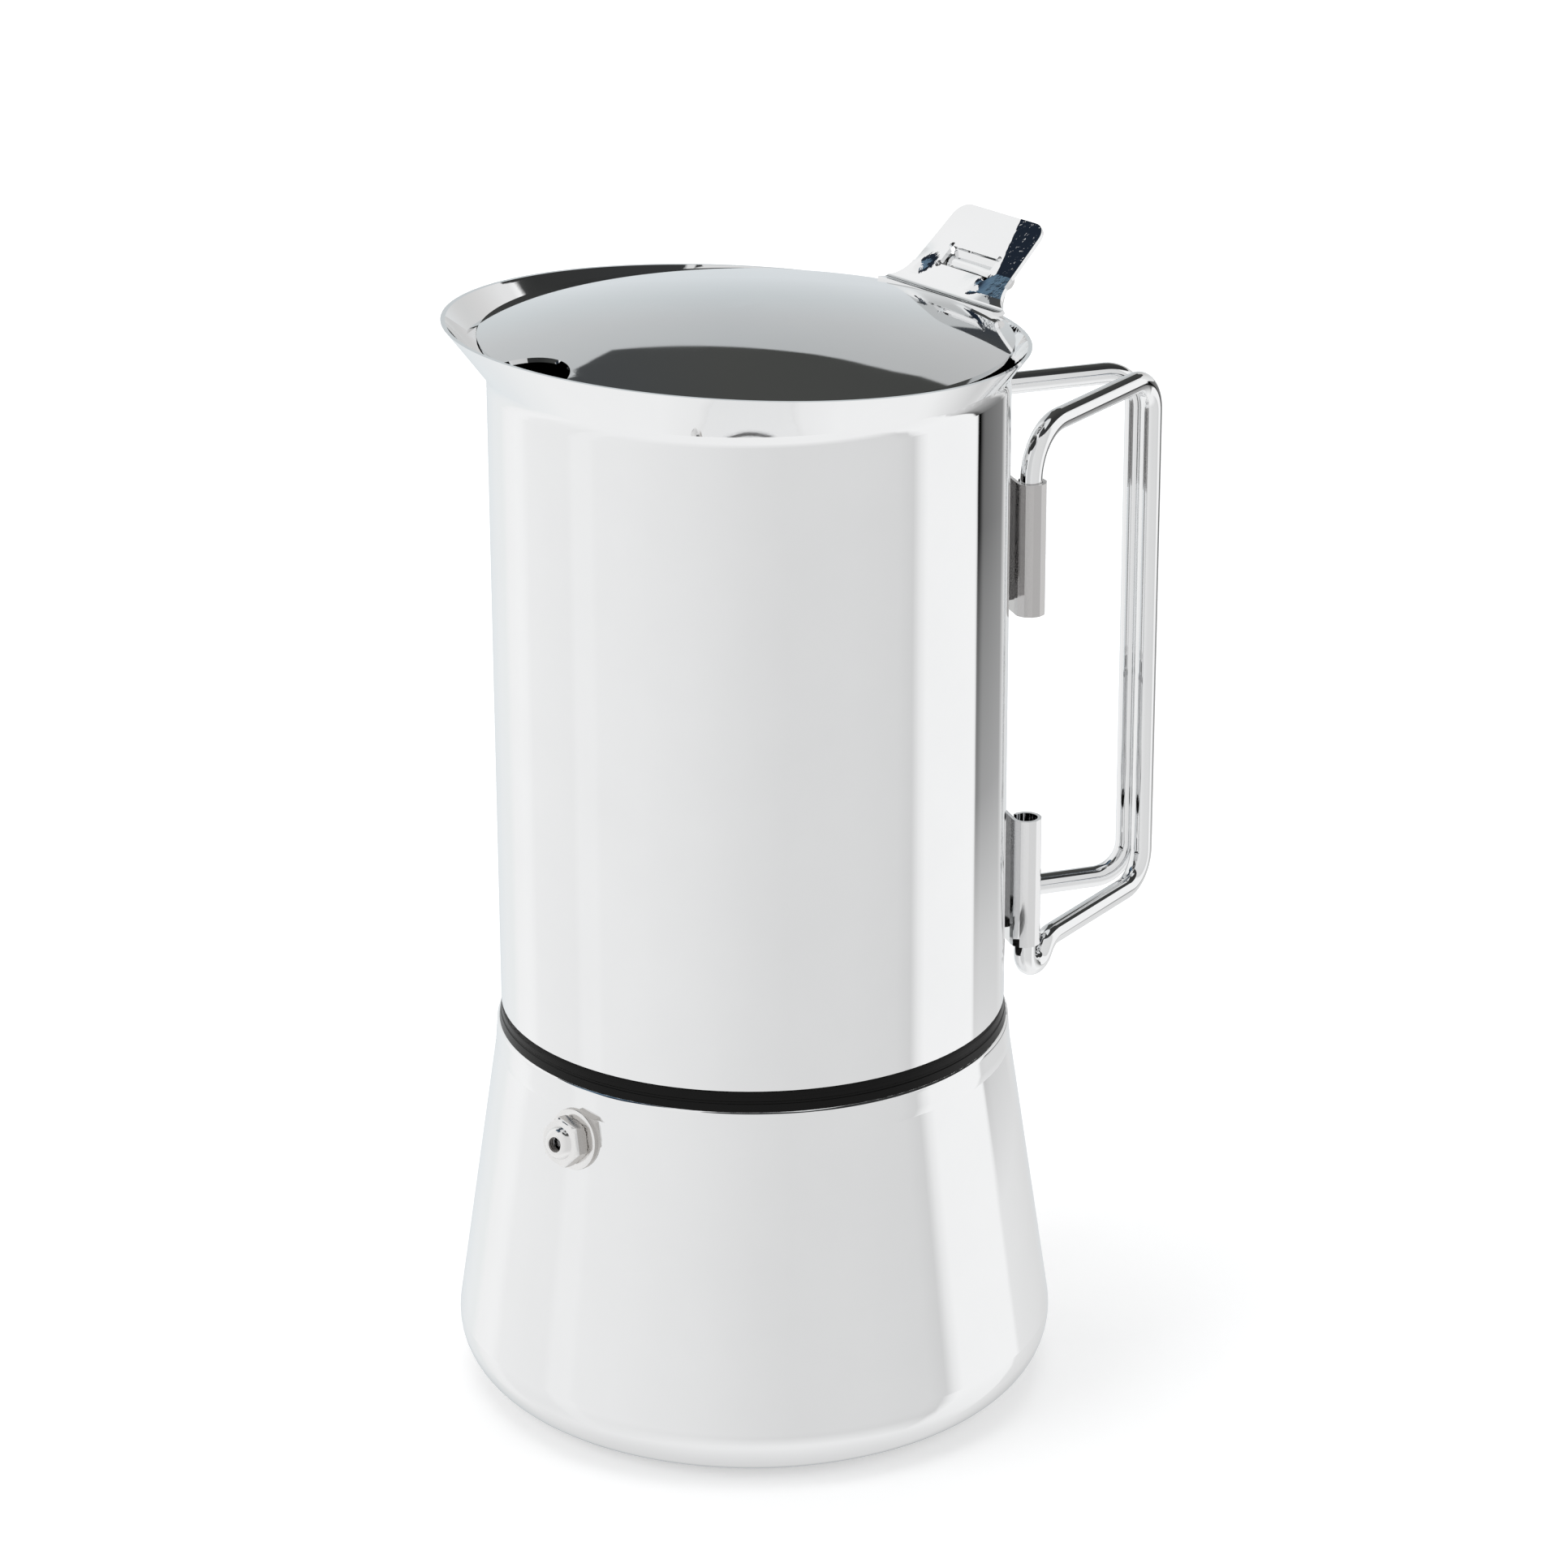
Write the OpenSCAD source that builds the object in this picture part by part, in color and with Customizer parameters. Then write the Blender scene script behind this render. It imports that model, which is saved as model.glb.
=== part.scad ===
// Stainless stovetop coffee pot: tapered boiler, screw-on jug with a flared
// rim, sheet lid with an upturned tab, and a handle of two folding wire loops.
// Millimetres, +Z up, pot axis on Z, handle at +X, pouring side at -X, the
// boiler's flat base at z = 0.

/* [Boiler] */
// Height of the boiler's shoulder above the table
boiler_h = 68.3; // [62:0.5:74]
// How far the shoulder stands out past the jug
boiler_over = 0.4; // [0.1:0.1:1]
// Lean of the boiler wall, degrees
boiler_taper = 8.45; // [6:0.5:10]
// Rounding between base and wall
base_fillet = 10.75; // [7:0.25:13]
// Sheet thickness of the boiler
boiler_sheet = 0.8; // [0.6:0.1:1.2]

/* [Neck and thread] */
// Distance of the thread's root inside the jug's wall
neck_inset = 8; // [7:0.25:9]
// Wall of the neck
neck_wall = 1; // [0.8:0.1:1.4]
// How far the neck stands above the shoulder
neck_rise = 11.2; // [9:0.2:14]
// How far the neck reaches down inside the boiler
neck_drop = 6.3; // [4:0.5:12]
// Room for both threads between neck and collar
thread_room = 1.6; // [1.2:0.1:2]

/* [Safety valve] */
// Direction of the valve seen from above, degrees from the handle
valve_az = -169.3; // [-179:1:-120]
// Depth of the valve below the shoulder
valve_drop = 9.5; // [8.5:0.1:14]
// Flange diameter
valve_flange_d = 10.8; // [10:0.1:13]
// Flange thickness
valve_flange_t = 1.2; // [1:0.1:2]
// Hexagon across flats
valve_hex = 7.8; // [7:0.1:9]
// Height of the hexagon
valve_hex_h = 2.6; // [2:0.1:4]
// Diameter of the domed nipple
nipple_d = 5.6; // [5:0.1:6]
// Height of the nipple above the hexagon
nipple_h = 1.4; // [1.1:0.1:2]
// Vent hole in the nipple, tapped M3 size
vent_d = 2.65; // [2.4:0.05:2.8]
// Shank through the wall
shank_d = 7.2; // [6.6:0.1:7.6]
// Shank length inside the wall
shank_in = 6.2; // [5.5:0.1:7.5]
// Spring chamber diameter
chamber_d = 4.6; // [4:0.1:5]
// Nut across flats
nut_af = 11; // [10:0.5:12]
// Nut thickness
nut_t = 2.6; // [2:0.1:3]
// Thickness of the sealing washer inside the wall
seal_t = 1; // [0.8:0.1:1.5]

/* [Funnel] */
// Play of the basket in the neck
basket_gap = 0.6; // [0.4:0.1:1.5]
// Basket and cone sheet
funnel_sheet = 0.6; // [0.5:0.1:0.8]
// Basket depth from its rim to the screen
basket_depth = 22; // [18:0.5:24]
// Height of the cone below the screen
cone_h = 8; // [6:0.5:12]
// Stem outside radius
stem_r = 4.8; // [4:0.1:6]
// Stem's clearance above the boiler floor
stem_gap = 4.2; // [3:0.2:8]
// Rim overlap on top of the neck
rim_lap = 0.8; // [0.6:0.1:1]
// Perforation diameter of both screens
perf_d = 2; // [1.6:0.1:2.4]
// Perforation spacing from ring to ring
perf_step = 5.2; // [4.4:0.1:5.4]
// Rings of perforations
perf_rings = 4; // [3:1:5]

/* [Joint ring and seal] */
// Height of the dark ring between boiler and jug
ring_h = 3.77; // [3:0.1:5]
// Rounding of the ring's upper shoulder
ring_round = 1.1; // [0.6:0.1:1.4]
// Gasket thickness
gasket_t = 3.7; // [3:0.1:4.5]
// Width of the gasket
gasket_w = 8.6; // [7.6:0.1:9.6]
// Filter plate sheet
filter_sheet = 0.8; // [0.6:0.1:1]

/* [Jug] */
// Outside radius of the jug's straight wall
jug_r = 45; // [44.5:0.1:45.4]
// Sheet thickness of the jug
jug_sheet = 0.6; // [0.5:0.1:0.8]
// Height of the straight wall above the joint ring
wall_h = 113.83; // [105:0.01:120]
// Radius of the flare's bend
flare_bend = 5; // [4:0.5:8]
// Lean of the flare from vertical, degrees
flare_angle = 37; // [35:1:42]
// Rim height above the flare's start, on the pot's axis
rim_h = 8.7; // [8.5:0.1:10]
// Fall of the rim per mm towards the handle
rim_fall = 0.068; // [0.05:0.004:0.08]
// Depth of the filling column's top below the flare
column_drop = 17.9; // [14:0.1:36]
// Bore radius of the column
column_bore_r = 3.6; // [3:0.1:4]
// Column radius at its foot
column_foot_r = 7.5; // [7:0.1:8]
// Column radius at its top
column_head_r = 5.2; // [4.8:0.1:6]
// Thickness of the jug's floor
floor_sheet = 0.8; // [0.6:0.1:1]
// Height of the floor's turned-up edge
floor_lip = 4; // [3:0.5:6]

/* [Lid] */
// Lid radius beyond the jug wall
lid_over = 1; // [0.5:0.1:1.1]
// Shift of the lid towards the spout
lid_shift = 0.6; // [0.4:0.1:0.8]
// Edge height above the flare's start, on the pot's axis, upper face
lid_h = 7.7; // [7.6:0.1:8.1]
// Tilt of the lid, degrees
lid_tilt = 1.2; // [0.6:0.1:1.6]
// Dome rise
lid_rise = 5; // [3:0.5:6]
// Lid sheet
lid_sheet = 0.8; // [0.6:0.1:1]
// Radius of the pouring notch
notch_r = 8.8; // [7:0.2:10]
// Depth of the pouring notch
notch_depth = 7; // [5:0.5:8]

/* [Lid tab] */
// Distance of the tab's fold inside the jug wall
fold_in = 1.7; // [1.4:0.1:2]
// Lean of the tab from horizontal, degrees
tab_lean = 41.5; // [38:0.5:48]
// Tab length from the fold
tab_len = 18.7; // [16:0.5:22]
// Tab width at the fold
tab_root_w = 31.5; // [29:0.5:32]
// Tab width above the root curves
tab_waist_w = 25; // [23:0.5:26]
// Tab width at the top
tab_top_w = 23.4; // [20:0.2:24]
// Corner radius at the top
tab_corner = 3; // [2:0.5:5]
// Radius of the concave curves at the root
tab_root_curve = 5; // [3:0.5:6]
// Mid-line radius of the fold
fold_bend = 2; // [1.5:0.1:2.5]
// Window width
window_w = 12.6; // [11:0.2:14]
// Window height
window_h = 4.1; // [3.8:0.1:5]
// Window's lower edge above the fold
window_u = 5.7; // [5:0.1:6.5]

/* [Lid hinge] */
// Hinge pin diameter
pin_d = 2; // [1.6:0.1:2.2]
// Outside radius of the knuckles
knuckle_r = 1.7; // [1.5:0.1:1.9]
// Running clearance round the pin
pin_fit = 0.04; // [0.02:0.01:0.08]
// Gap between tab and bracket
hinge_gap = 0.3; // [0.3:0.05:0.5]
// Length of the ears' knuckles
ear_len = 2.2; // [1.8:0.2:3]
// Hinge bracket sheet
ear_sheet = 1.2; // [1:0.1:1.4]
// Depth of the weld pad's top below the flare
pad_drop = 2.9; // [1.9:0.1:6]
// Height of the weld pad
pad_h = 9; // [7:0.5:12]
// Stand-off of the bracket's leg from the jug wall
leg_out = 3.6; // [3.2:0.1:4]

/* [Handle wire] */
// Wire diameter
wire_d = 4; // [3.6:0.1:4.2]
// Length of a loop from pivot to grip
loop_len = 42.4; // [38:0.5:50]
// Gap between the two grips
grip_gap = 0.3; // [0.3:0.1:1]
// Depth of the upper arm below the flare
arm_drop = 15.6; // [12:0.1:17]
// Depth of the lower arm below the joint ring's top
arm_sink = 0.67; // [0.07:0.05:1.27]
// Bend at the top of the sleeve side
shoulder_bend = 9.2; // [7:0.2:9.3]
// Bend at the grip's corners
grip_bend = 6.5; // [5:0.5:9]
// Bend of the hook under the lower sleeve
hook_bend = 3.3; // [3:0.1:3.5]
// Depth of the hook's lowest centre line below the joint ring's top
hook_sink = 4.37; // [4.07:0.05:5.07]
// Straight run between the hook and the lower arm's bend
hook_run = 1; // [0.6:0.1:1.2]

/* [Handle sleeves] */
// Distance of the pivots beyond the jug wall
pivot_out = 5.9; // [5.5:0.1:7]
// Distance of each pivot from the middle plane
pivot_y = 15.4; // [14.5:0.1:16.5]
// Running clearance round the wire
sleeve_fit = 0.08; // [0.04:0.01:0.1]
// Sleeve sheet
sleeve_sheet = 0.65; // [0.5:0.05:0.8]
// Sleeve length
sleeve_h = 24.5; // [20:0.5:26]
// Gap between the joint ring's top and the lower sleeves
sleeve_lift = 0.93; // [0.73:0.05:3.9]
// Depth of the wire's lower end below the top of its sleeve
wire_short = 7; // [4:0.5:10]
// Height of the wire's upper end above the foot of its sleeve
wire_tuck = 2; // [1:0.5:5]
// Depth of the upper sleeves' bottom below the flare
sleeve_drop = 49.4; // [49.4:0.5:56]
// Opening left by the curl, degrees
curl_slit = 46; // [20:2:60]
// Flats round the sleeve's outside
sleeve_flats = 12; // [10:1:12]

/* [Hidden] */
$fn = 48;
big_fn = 96;
steel = [0.82, 0.82, 0.84];
inner_steel = [0.7, 0.72, 0.75];
dark = [0.12, 0.12, 0.13];

// clearances shared by mating pieces
run_gap = 0.3;

// boiler stations
boiler_top_r = jug_r + boiler_over;
taper_k = boiler_top_r * cos(boiler_taper) + boiler_h * sin(boiler_taper);
base_flat_r = (taper_k - base_fillet * (1 + sin(boiler_taper))) / cos(boiler_taper);
neck_r = jug_r - neck_inset;
neck_top_z = boiler_h + neck_rise;
neck_in_r = neck_r - neck_wall;

// joint stations
ring_top_z = boiler_h + ring_h;
collar_bore_r = neck_r + thread_room;
collar_wall = 1.6;
basket_top_z = neck_top_z + funnel_sheet;
gasket_top_z = basket_top_z + gasket_t;
floor_z = gasket_top_z + filter_sheet;
floor_top_z = floor_z + floor_sheet;
jug_in_r = jug_r - jug_sheet;
gasket_in_r = collar_bore_r - gasket_w;

// funnel stations
basket_r = neck_in_r - basket_gap;
screen_z = neck_top_z - basket_depth;
cone_z = screen_z - cone_h;
stem_z = boiler_sheet + stem_gap;
rim_r = neck_r - neck_wall + rim_lap;

// flare, rim and column stations
flare_z = ring_top_z + wall_h;
rim_z = flare_z + rim_h;
column_top_z = flare_z - column_drop;
flare_cx = jug_r + flare_bend;
flare_end_r = flare_cx - flare_bend * cos(flare_angle);
flare_end_z = flare_z + flare_bend * sin(flare_angle);
flare_in_r = flare_cx - (flare_bend + jug_sheet) * cos(flare_angle);
flare_in_z = flare_z + (flare_bend + jug_sheet) * sin(flare_angle);
rim_over = 12;

// lid stations
lid_r = jug_r + lid_over;
lid_z = flare_z + lid_h;
fold_x = jug_r - fold_in;
leg_x = jug_r + leg_out;
pad_top_z = flare_z - pad_drop;
dome_r = (lid_r * lid_r + lid_rise * lid_rise) / (2 * lid_rise);
fold_d = fold_x + lid_shift;
fold_drop = dome_r - sqrt(dome_r * dome_r - fold_d * fold_d);
fold_z = lid_z - lid_sheet / 2 + lid_rise - fold_drop - tan(lid_tilt) * fold_x;
fold_slope = asin(fold_d / dome_r) + lid_tilt;
hinge_u = window_u + window_h / 2;
hinge_v = lid_sheet / 2 + hinge_gap + knuckle_r;
hinge_x = fold_x + hinge_u * cos(tab_lean) + hinge_v * sin(tab_lean);
hinge_z = fold_z + hinge_u * sin(tab_lean) - hinge_v * cos(tab_lean);
knuckle_len = window_w - 2 * run_gap;
ear_y = knuckle_len / 2 + run_gap;

// valve stations: the wall's outer face on the valve's axis
valve_z = boiler_h - valve_drop;
valve_r = boiler_top_r + tan(boiler_taper) * (boiler_h - valve_z);
chamber_out = valve_flange_t + valve_hex_h;
pin_head_t = 2;
pin_travel = 1.5;
plug_t = 1.2;
spring_turns = 5;

// a length to the nearest hundredth, so that the wire's runs and bends meet end to end
function hundredth(length) = round(length * 100) / 100;

// handle stations; the hook leaves its bend rising 4 for every 3 along
hook_dir = [0.6, 0.8];
hook_turn = atan2(hook_dir[1], hook_dir[0]);
wire_r = wire_d / 2;
pivot_x = jug_r + pivot_out;
arm_top_z = hundredth(flare_z - arm_drop);
arm_low_z = hundredth(ring_top_z - arm_sink);
hook_z = hundredth(ring_top_z - hook_sink);
low_sleeve_z = hundredth(ring_top_z + sleeve_lift);
up_sleeve_z = hundredth(flare_z - sleeve_drop);
sleeve_bore_r = wire_r + sleeve_fit;
sleeve_mid_r = sleeve_bore_r + sleeve_sheet / 2;
loop_angle = asin((pivot_y - wire_r - grip_gap / 2) / loop_len);
hook_cz = hook_z + hook_bend;
hook_end_u = hook_bend * (1 + hook_dir[1]);
hook_end_z = hook_cz - hook_bend * hook_dir[0];
ease_bend = (arm_low_z - hook_end_z - hook_run * hook_dir[1]) / (1 - hook_dir[0]);
ease_u = hook_end_u + hook_run * hook_dir[0] + ease_bend * hook_dir[1];
grip_low_z = arm_low_z + grip_bend;
grip_top_z = arm_top_z - grip_bend;

// ---------- shared shapes ----------

// right half of the boiler's outline, drawn inset from the outer face
module boiler_outline(inset) {
  blend = 0.005;
  round_r = base_fillet - inset + blend;
  top = boiler_top_r - inset / cos(boiler_taper);
  foot = top + tan(boiler_taper) * (boiler_h - inset);
  reach = 40;
  intersection() {
    polygon([[0, inset], [foot, inset], [top, boiler_h], [0, boiler_h]]);
    union() {
      translate([base_flat_r, base_fillet]) circle(r = round_r, $fn = 144);
      translate([0, -5]) square([base_flat_r, boiler_h + 10]);
      polygon([[base_flat_r - 10, base_fillet - 10 * tan(boiler_taper)],
               [base_flat_r + reach, base_fillet + reach * tan(boiler_taper)],
               [base_flat_r + reach, boiler_h + 5], [base_flat_r - 10, boiler_h + 5]]);
    }
  }
}

// solid bounded by the boiler's wall at a given inset
module boiler_solid(inset, facets = big_fn) {
  rotate_extrude($fn = facets) boiler_outline(inset);
}

// moves to the wall at the valve, local +Z pointing out of the pot
module at_valve() {
  rotate([0, 0, valve_az]) translate([valve_r, 0, valve_z]) rotate([0, 90 - boiler_taper, 0]) children();
}

// thin tube standing on z
module tube(outer, inner, z0, z1) {
  difference() {
    translate([0, 0, z0]) cylinder(r = outer, h = z1 - z0);
    translate([0, 0, z0 - 1]) cylinder(r = inner, h = z1 - z0 + 2);
  }
}

// rings of round holes for a sieve
module perforations(z0, h) {
  translate([0, 0, z0]) cylinder(d = perf_d, h = h, $fn = 13);
  for (ring = [1 : perf_rings]) {
    for (i = [0 : 5 * ring - 1]) {
      rotate([0, 0, i * 72 / ring]) translate([ring * perf_step, 0, z0]) cylinder(d = perf_d, h = h, $fn = 13);
    }
  }
}

// flat strip in 2D between two points, with round ends
module strip(a, b, t) {
  run = norm(b - a);
  translate(a) rotate(atan2(b[1] - a[1], b[0] - a[0])) translate([0, -t / 2]) square([run, t]);
  translate(a) circle(d = t, $fn = 24);
  translate(b) circle(d = t, $fn = 24);
}

// piece of round wire along +Z
module wire_straight(z0, z1) {
  translate([0, 0, z0]) cylinder(r = wire_r, h = z1 - z0, $fn = 28);
}

// bend of round wire in the XZ plane about a centre, angles from +X towards +Z
module wire_bend(cx, cz, bend, from, sweep) {
  translate([cx, 0, cz]) rotate([90, 0, 0]) rotate_extrude(angle = sweep, start = from, $fn = 64)
    translate([bend, 0]) circle(r = wire_r, $fn = 28);
}

// ---------- boiler ----------

module boiler_shell() {
  color(steel) difference() {
    boiler_solid(0);
    intersection() {
      boiler_solid(boiler_sheet);
      cylinder(r = 2 * boiler_top_r, h = boiler_h - boiler_sheet);
    }
    translate([0, 0, boiler_h - 5]) cylinder(r = neck_r, h = 10, $fn = big_fn);
    at_valve() translate([0, 0, -4]) cylinder(d = shank_d, h = 8, $fn = 32);
  }
}

module boiler_neck() {
  lip = neck_wall / 4;
  color(inner_steel) rotate_extrude($fn = big_fn)
    polygon([[neck_in_r, boiler_h - neck_drop], [neck_r, boiler_h - neck_drop], [neck_r, neck_top_z - lip],
             [neck_r - lip, neck_top_z], [neck_in_r, neck_top_z]]);
}

// ---------- safety valve ----------

module valve_body() {
  dome_bend = (nipple_d * nipple_d / 4 + nipple_h * nipple_h) / (2 * nipple_h);
  tip = valve_flange_t + valve_hex_h;
  color(inner_steel) difference() {
    union() {
      difference() {
        at_valve() translate([0, 0, -1]) cylinder(d = valve_flange_d, h = valve_flange_t + 1);
        boiler_solid(0, 480);
      }
      at_valve() translate([0, 0, -shank_in]) cylinder(d = shank_d, h = shank_in + valve_flange_t, $fn = 32);
      at_valve() intersection() {
        cylinder(d = valve_hex / cos(30), h = tip, $fn = 6);
        translate([0, 0, valve_flange_t - 1])
          cylinder(r1 = valve_hex * 0.62 + valve_hex_h + 1, r2 = valve_hex * 0.53, h = valve_hex_h + 1);
      }
      at_valve() intersection() {
        translate([0, 0, tip + nipple_h - dome_bend]) sphere(r = dome_bend, $fn = 64);
        translate([-5, -5, tip - 0.5]) cube([10, 10, 5]);
        cylinder(d = nipple_d, h = 10, $fn = 64);
      }
    }
    at_valve() translate([0, 0, -shank_in - 1])
      cylinder(d = chamber_d, h = shank_in + 1 + chamber_out, $fn = 32);
    at_valve() cylinder(d = vent_d, h = 20, $fn = 24);
  }
}

module valve_seal() {
  color(dark) intersection() {
    at_valve() translate([0, 0, -boiler_sheet - seal_t]) difference() {
      cylinder(d = valve_flange_d, h = seal_t + 1);
      translate([0, 0, -1]) cylinder(d = shank_d, h = seal_t + 3, $fn = 32);
    }
    boiler_solid(boiler_sheet, 480);
  }
}

module valve_nut() {
  color(inner_steel) at_valve() translate([0, 0, -boiler_sheet - seal_t - nut_t]) difference() {
    cylinder(d = nut_af / cos(30), h = nut_t, $fn = 6);
    translate([0, 0, -1]) cylinder(d = shank_d, h = nut_t + 2, $fn = 32);
  }
}

module valve_plug() {
  color(inner_steel) at_valve() translate([0, 0, -shank_in]) difference() {
    cylinder(d = chamber_d, h = plug_t, $fn = 32);
    translate([0, 0, -1]) cylinder(d = chamber_d * 0.4, h = plug_t + 2, $fn = 24);
  }
}

module valve_pin() {
  head_z = plug_t - shank_in;
  color(inner_steel) at_valve() union() {
    translate([0, 0, head_z]) cylinder(d = chamber_d - 2 * run_gap, h = pin_head_t, $fn = 32);
    translate([0, 0, head_z]) cylinder(d = vent_d - 2 * run_gap - 0.6, h = chamber_out - head_z, $fn = 24);
  }
}

// coil of tilted half rings, each half rising half a pitch
module valve_spring() {
  spring_wire = 0.5;
  coil_r = chamber_d / 2 - run_gap - spring_wire / 2;
  z0 = plug_t - shank_in + pin_head_t + spring_wire / 2;
  z1 = chamber_out - spring_wire / 2;
  half_rise = (z1 - z0) / (2 * spring_turns);
  tilt = atan(half_rise / (2 * coil_r));
  color(inner_steel) at_valve() union() {
    for (i = [0 : 2 * spring_turns - 1]) {
      side = i % 2 == 0 ? 1 : -1;
      translate([0, 0, z0 + (i + 0.5) * half_rise]) rotate([0, side * tilt, 0])
        rotate_extrude(angle = 180, start = side == 1 ? 0 : 180, $fn = 16)
        translate([coil_r / cos(tilt), 0]) circle(d = spring_wire, $fn = 13);
    }
  }
}

// ---------- funnel ----------

module funnel_basket() {
  t = funnel_sheet;
  color(inner_steel) rotate_extrude($fn = big_fn)
    polygon([[basket_r, neck_top_z], [basket_r, screen_z], [stem_r + t, cone_z],
             [stem_r + t, cone_z - 3], [stem_r, cone_z - 3], [stem_r, cone_z + t], [basket_r - t, screen_z + t],
             [basket_r - t, basket_top_z], [rim_r, basket_top_z], [rim_r, neck_top_z]]);
}

module funnel_stem() {
  color(inner_steel) tube(stem_r, stem_r - funnel_sheet, stem_z, cone_z);
}

module funnel_screen() {
  color(inner_steel) difference() {
    translate([0, 0, screen_z + funnel_sheet]) cylinder(r = basket_r - funnel_sheet, h = filter_sheet, $fn = 64);
    perforations(screen_z, 3);
  }
}

// ---------- joint ----------

module joint_ring() {
  color(dark) rotate_extrude($fn = big_fn) union() {
    difference() {
      polygon([[collar_bore_r, boiler_h], [boiler_top_r, boiler_h], [jug_r + 0.02, ring_top_z - ring_round],
               [jug_r - ring_round, ring_top_z], [collar_bore_r, ring_top_z]]);
      translate([boiler_top_r - 0.1, boiler_h + ring_h * 0.45]) circle(r = 0.3, $fn = 16);
    }
    translate([jug_r - ring_round, ring_top_z - ring_round]) circle(r = ring_round, $fn = 32);
  }
}

module gasket() {
  color(dark) tube(collar_bore_r, gasket_in_r, basket_top_z, gasket_top_z);
}

module filter_plate() {
  t = filter_sheet;
  color(inner_steel) difference() {
    rotate_extrude($fn = 64)
      polygon([[0, basket_top_z + 1], [gasket_in_r, basket_top_z + 1], [gasket_in_r, gasket_top_z],
               [collar_bore_r - 2, gasket_top_z], [collar_bore_r - 2, floor_z], [gasket_in_r - t, floor_z],
               [gasket_in_r - t, basket_top_z + 1 + t], [0, basket_top_z + 1 + t]]);
    perforations(basket_top_z, 3);
  }
}

// ---------- jug ----------

// flare and straight wall in half section, between the two sheet faces
module jug_outline() {
  over_r = rim_over * tan(flare_angle);
  union() {
    translate([jug_in_r, ring_top_z]) square([jug_sheet, flare_z - ring_top_z]);
    intersection() {
      difference() {
        translate([flare_cx, flare_z]) circle(r = flare_bend + jug_sheet, $fn = 180);
        translate([flare_cx, flare_z]) circle(r = flare_bend, $fn = 180);
      }
      polygon([[flare_cx, flare_z], [flare_cx - 40, flare_z],
               [flare_cx - 40 * cos(flare_angle), flare_z + 40 * sin(flare_angle)]]);
    }
    polygon([[flare_in_r, flare_in_z], [flare_end_r, flare_end_z],
             [flare_end_r + over_r, flare_end_z + rim_over], [flare_in_r + over_r, flare_in_z + rim_over]]);
  }
}

module jug_shell() {
  color(steel) difference() {
    rotate_extrude($fn = big_fn) jug_outline();
    translate([0, 0, rim_z]) rotate([0, atan(rim_fall), 0]) translate([-100, -100, 0]) cube([200, 200, 60]);
  }
}

module jug_floor() {
  t = floor_sheet;
  color(inner_steel) rotate_extrude($fn = 64)
    polygon([[column_foot_r, floor_z], [jug_in_r, floor_z], [jug_in_r, floor_z + floor_lip], [jug_in_r - t, floor_z + floor_lip],
             [jug_in_r - t, floor_top_z], [column_foot_r, floor_top_z]]);
}

module jug_collar() {
  lip_z = ring_top_z + 0.5;
  lip_r = jug_in_r - 0.5;
  t = collar_wall;
  color(inner_steel) rotate_extrude($fn = big_fn)
    polygon([[collar_bore_r, lip_z], [lip_r, lip_z], [lip_r, lip_z + 1], [collar_bore_r + t, lip_z + 1],
             [collar_bore_r + t, floor_z], [collar_bore_r, floor_z]]);
}

module column() {
  port_d = 4.4;
  color(inner_steel) difference() {
    rotate_extrude(convexity = 4)
      polygon([[column_bore_r, floor_z], [column_foot_r, floor_z], [column_foot_r, floor_top_z],
               [column_foot_r + 3, floor_top_z], [column_foot_r + 3, floor_top_z + floor_sheet],
               [column_foot_r, floor_top_z + 3], [column_head_r, column_top_z], [column_bore_r, column_top_z]]);
    translate([0, 0, column_top_z - 5]) rotate([90, 0, 0]) cylinder(d = port_d, h = 40, center = true, $fn = 24);
  }
}

module column_cap() {
  cap_r = column_head_r + 1.3;
  color(inner_steel) union() {
    translate([0, 0, column_top_z - 1.5]) cylinder(r = column_bore_r, h = 2, $fn = 32);
    intersection() {
      translate([0, 0, column_top_z + 3 - cap_r * 1.6]) sphere(r = cap_r * 1.6, $fn = 64);
      translate([0, 0, column_top_z]) cylinder(r = cap_r, h = 4);
    }
  }
}

// ---------- handle brackets ----------

// half of the bracket in plan: weld strip, spring arm and curled sleeve
module bracket_half() {
  arrive = 152;
  crest = [pivot_x + 0.4, pivot_y / 2 - 0.7];
  knee = [jug_r, 4.5];
  touch = [pivot_x + sleeve_mid_r * cos(arrive), pivot_y - sleeve_mid_r * sin(arrive)];
  intersection() {
    difference() {
      circle(r = jug_r + sleeve_sheet, $fn = 180);
      circle(r = jug_r, $fn = 180);
    }
    square([2 * jug_r, knee[1]]);
  }
  strip(knee, crest, sleeve_sheet);
  strip(crest, touch, sleeve_sheet);
  translate([pivot_x, pivot_y]) difference() {
    circle(r = (sleeve_bore_r + sleeve_sheet) / cos(180 / sleeve_flats), $fn = sleeve_flats);
    circle(r = sleeve_bore_r, $fn = 48);
    rotate(-arrive) polygon([[0, 0], [9, 0], [9 * cos(curl_slit), 9 * sin(curl_slit)]]);
  }
}

module sleeve_bracket(z0) {
  color(steel) translate([0, 0, z0]) linear_extrude(height = sleeve_h) difference() {
    union() {
      bracket_half();
      mirror([0, 1]) bracket_half();
    }
    circle(r = jug_r, $fn = 180);
    translate([pivot_x, pivot_y]) circle(r = sleeve_bore_r, $fn = 48);
    translate([pivot_x, -pivot_y]) circle(r = sleeve_bore_r, $fn = 48);
  }
}

module upper_bracket() {
  sleeve_bracket(up_sleeve_z);
}

module lower_bracket() {
  sleeve_bracket(low_sleeve_z);
}

// ---------- lid hinge ----------

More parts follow.
